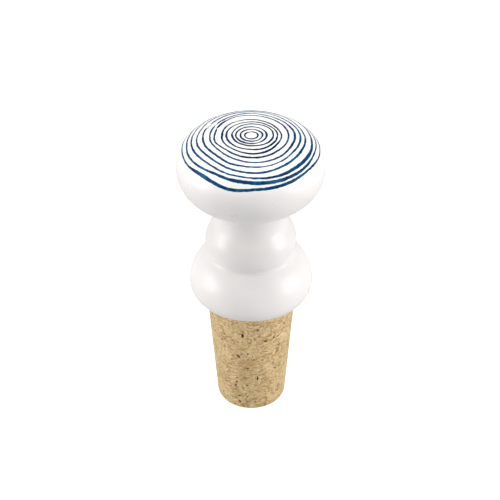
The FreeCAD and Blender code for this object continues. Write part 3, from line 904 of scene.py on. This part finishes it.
def seam_lines(tree, place, strayed):
    """Seams between granules, here and there open enough to see."""
    seams = add(
        tree, "TexVoronoi", {"feature": "DISTANCE_TO_EDGE"}, Vector=strayed,
        Scale=1 / (GRANULE_SIZE * MM),
    )
    open_seam = spread(tree, cloudiness(tree, place, CORK_SEAM_PATCHES), *OPEN_SEAMS)
    return times(tree, spread(tree, seams.outputs["Distance"], *SEAM_EDGE), open_seam)


def dark_flecks(tree, swirled):
    """A small dark fleck in a few of the pattern's cells."""
    cells = add(tree, "TexVoronoi", Vector=swirled, Scale=1 / (FLECK_SPACING * MM))
    pick = add(tree, "SeparateColor", Color=cells.outputs["Color"]).outputs["Green"]
    chosen = spread(tree, pick, *FLECKED_CELLS)
    return times(tree, chosen, spread(tree, cells.outputs["Distance"], *FLECK_EDGE))


def cork_material():
    """Pressed granules with swirled strands, brown seams, flecks, and pits darkened with their
    depth, partly in painted shade.
    """
    material, tree, shader = new_material("pressed_cork_granules")
    place = place_in_piece(tree)
    swirl = add(
        tree, "TexNoise", Vector=place, Scale=1 / (SWIRL_SIZE * MM), Detail=SWIRL_DETAIL
    ).outputs["Color"]
    swirl = reckon(tree, "SUBTRACT", swirl, (0.5, 0.5, 0.5), kind="VectorMath")
    swirled = moved(tree, place, swirl, SWIRL_REACH)
    strayed = moved(tree, place, swirl, GRANULE_STRAY)
    lying = stretched(tree, strayed, LYING_FLAT)

    shade = granule_tones(tree, strayed)
    shade = add_strands(tree, shade, lying, swirled)
    flakes = cloudiness(tree, lying, FLAKE_SIZE, detail=3.0, roughness=0.6)
    shade = mix_colours(tree, spread(tree, flakes, *LIGHT_FLAKES), shade, CORK_CREAM)
    shade = mix_colours(tree, spread(tree, flakes, *DARK_FLAKES), shade, CORK_BROWN)
    strokes = cloudiness(tree, lying, STROKE_SIZE)
    shade = mix_colours(tree, spread(tree, strokes, *DARK_STROKES), shade, CORK_RIB)
    seams = seam_lines(tree, place, strayed)
    shade = mix_colours(tree, times(tree, seams, SEAM_SHARE), shade, CORK_SEAM)
    flecks = dark_flecks(tree, swirled)
    shade = mix_colours(tree, times(tree, flecks, FLECK_SHARE), shade, CORK_FLECK)
    pit = add(tree, "Attribute", {"attribute_name": "pit"}).outputs["Fac"]
    # Pits darken with their depth: partly the cork's own brown, partly painted shade in the
    # hollow.
    shade = mix_colours(tree, spread(tree, pit, *PIT_SLOPE_SHADE), shade, CORK_FLECK)
    shade = mix_colours(tree, spread(tree, pit, *PIT_HEART_SHADE), shade, CORK_PIT_BROWN_AND_SHADE)
    grain = cloudiness(tree, place, CORK_GRAIN, detail=3.0)
    shade = mix_colours(tree, spread(tree, grain, *DARK_GRAIN), shade, CORK_SEAM)
    tree.links.new(shade, shader.inputs["Base Color"])
    set_roughness(tree, shader, grain, *CORK_ROUGHNESS)
    shader.inputs["Specular IOR Level"].default_value = CORK_SPECULAR
    shader.inputs["Sheen Weight"].default_value = CORK_SHEEN
    shader.inputs["Sheen Roughness"].default_value = CORK_SHEEN_ROUGHNESS
    shader.inputs["Sheen Tint"].default_value = CORK_CREAM

    height = plus(tree, times(tree, flakes, FLAKE_RELIEF), times(tree, grain, GRAIN_RELIEF))
    height = reckon(tree, "SUBTRACT", height, times(tree, seams, SEAM_RELIEF))
    height = reckon(tree, "SUBTRACT", height, times(tree, flecks, FLECK_RELIEF))
    relief(tree, shader, height, *CORK_RELIEF)
    return material


# --- beech -----------------------------------------------------------------------------

BEECH_PALE = colour(222, 188, 142)
BEECH_DARK = colour(196, 152, 104)
BEECH_PORE = colour(142, 98, 58)
BEECH_GRAIN = 0.7
BEECH_GRAIN_STRETCH = (1.0, 1.0, 0.06)
BEECH_GRAIN_SHADE = (0.35, 0.65)
BEECH_PORES = 0.12
BEECH_PORE_STRETCH = (1.0, 1.0, 0.08)
BEECH_PORE_SHADE = (0.6, 0.72, 0.0, 0.5)
BEECH_ROUGHNESS = (0.55, 0.75)
BEECH_RELIEF = (0.4, 0.05)


def beech_material():
    """Pale beech with fine pores along the pin."""
    material, tree, shader = new_material("beech_dowel")
    place = place_in_piece(tree)
    grain = cloudiness(tree, place, BEECH_GRAIN, detail=4.0, stretch=BEECH_GRAIN_STRETCH)
    pores = cloudiness(tree, place, BEECH_PORES, stretch=BEECH_PORE_STRETCH)
    wood = mix_colours(tree, spread(tree, grain, *BEECH_GRAIN_SHADE), BEECH_PALE, BEECH_DARK)
    wood = mix_colours(tree, spread(tree, pores, *BEECH_PORE_SHADE), wood, BEECH_PORE)
    tree.links.new(wood, shader.inputs["Base Color"])
    set_roughness(tree, shader, grain, *BEECH_ROUGHNESS)
    relief(tree, shader, pores, *BEECH_RELIEF)
    return material


def dress_pin(material):
    """The pin keeps its own shape and gets a wooden finish."""
    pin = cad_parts["joining_pin"]
    for place in pin.material_slots:
        place.material = material


# --- floor, light and camera -----------------------------------------------------------

# The floor's half width is in metres, as are the places and sizes of the lights.
FLOOR_REACH = 3.0
FLOOR_SQUARES = 8
PAPER_PALE = colour(190, 190, 190)
PAPER_SHADE = colour(186, 186, 186)
PAPER_CLOUDS = 300.0
PAPER_ROUGHNESS = 0.9
PAPER_GLOW = 0.9
WHITE = (1.0, 1.0, 1.0)
WARM_SIDE = (1.0, 0.935, 0.925)
BACKDROP_TINT = (0.985, 1.0, 0.97, 1.0)
BACKDROP_STRENGTH = 0.35
LIGHT_TARGET = (0.0, 0.0, 0.045)
# Each soft light: name, place, width and height, power in watts, and tint.
SOFTBOXES = (
    ("left_softbox", (-0.6, -0.15, 0.35), (0.5, 0.6), 0.9, WARM_SIDE),
    ("left_side_softbox", (-0.6, 0.1, 0.3), (0.4, 0.5), 0.6, WARM_SIDE),
    ("left_low_softbox", (-0.6, -0.11, 0.14), (0.3, 0.26), 1.15, WARM_SIDE),
    ("right_strip", (0.42, -0.18, 0.3), (0.22, 0.56), 0.95, WARM_SIDE),
    ("right_low_softbox", (0.6, -0.11, 0.14), (0.3, 0.26), 1.3, WARM_SIDE),
    ("top_softbox", (0.0, 0.1, 0.75), (0.6, 0.6), 4.0, WHITE),
)

# The camera's distance and aim are in millimetres; the picture's measures are in pixels.
CAMERA_DISTANCE = 396.04
CAMERA_RISE = math.radians(36.455)
CAMERA_AIM_HEIGHT = 47.94
CAMERA_ROLL = math.radians(0.174)
CAMERA_NEAREST = 10.0
FOCAL_PIXELS = 1509.36
PICTURE_WIDTH = 500
PICTURE_SHIFT = 0.994
SENSOR_WIDTH = 36.0


def make_floor():
    """A plain pale sheet that looks white to the camera and glows for nothing else."""
    bm = bmesh.new()
    bmesh.ops.create_grid(bm, x_segments=FLOOR_SQUARES, y_segments=FLOOR_SQUARES, size=FLOOR_REACH)
    mesh = bpy.data.meshes.new("floor")
    bm.to_mesh(mesh)
    bm.free()
    floor = bpy.data.objects.new("floor", mesh)
    bpy.context.scene.collection.objects.link(floor)
    material, tree, shader = new_material("floor_paper")
    clouds = cloudiness(tree, place_in_piece(tree), PAPER_CLOUDS)
    paper = cloudy_colour(tree, clouds, PAPER_SHADE, PAPER_PALE)
    tree.links.new(paper, shader.inputs["Base Color"])
    shader.inputs["Roughness"].default_value = PAPER_ROUGHNESS
    shader.inputs["Specular IOR Level"].default_value = 0.0
    shader.inputs["Emission Color"].default_value = (*WHITE, 1.0)
    seen = add(tree, "LightPath").outputs["Is Camera Ray"]
    tree.links.new(times(tree, seen, PAPER_GLOW), shader.inputs["Emission Strength"])
    mesh.materials.append(material)


def add_softbox(name, place, size, power, tint):
    """A flat soft light that looks at the stopper's middle."""
    lamp = bpy.data.lights.new(name, "AREA")
    lamp.shape = "RECTANGLE"
    lamp.size, lamp.size_y = size
    lamp.energy = power
    lamp.color = tint
    holder = bpy.data.objects.new(name, lamp)
    bpy.context.scene.collection.objects.link(holder)
    holder.location = place
    look = Vector(LIGHT_TARGET) - Vector(place)
    holder.rotation_euler = look.to_track_quat("-Z", "Y").to_euler()


def light_the_scene():
    for softbox in SOFTBOXES:
        add_softbox(*softbox)
    world = bpy.data.worlds.new("studio")
    bpy.context.scene.world = world
    world.use_nodes = True
    backdrop = world.node_tree.nodes["Background"]
    backdrop.inputs["Color"].default_value = BACKDROP_TINT
    backdrop.inputs["Strength"].default_value = BACKDROP_STRENGTH


def make_camera():
    """Camera at the photograph's own angle and distance."""
    lens = bpy.data.cameras.new("camera")
    lens.sensor_width = SENSOR_WIDTH
    lens.lens = FOCAL_PIXELS * SENSOR_WIDTH / PICTURE_WIDTH
    lens.shift_x = -PICTURE_SHIFT / PICTURE_WIDTH
    lens.clip_start = CAMERA_NEAREST * MM
    camera = bpy.data.objects.new("camera", lens)
    bpy.context.scene.collection.objects.link(camera)
    camera.location = (
        0.0,
        -CAMERA_DISTANCE * MM * math.cos(CAMERA_RISE),
        (CAMERA_AIM_HEIGHT + CAMERA_DISTANCE * math.sin(CAMERA_RISE)) * MM,
    )
    tilt = Matrix.Rotation(math.pi / 2 - CAMERA_RISE, 3, "X")
    roll = Matrix.Rotation(-CAMERA_ROLL, 3, "Z")
    camera.rotation_euler = (tilt @ roll).to_euler()
    bpy.context.scene.camera = camera


def main():
    make_knob(glaze_material())
    make_painted_rings(paint_material())
    make_cork(cork_material())
    dress_pin(beech_material())
    make_floor()
    light_the_scene()
    make_camera()
    bpy.context.scene.view_settings.view_transform = "Standard"


main()
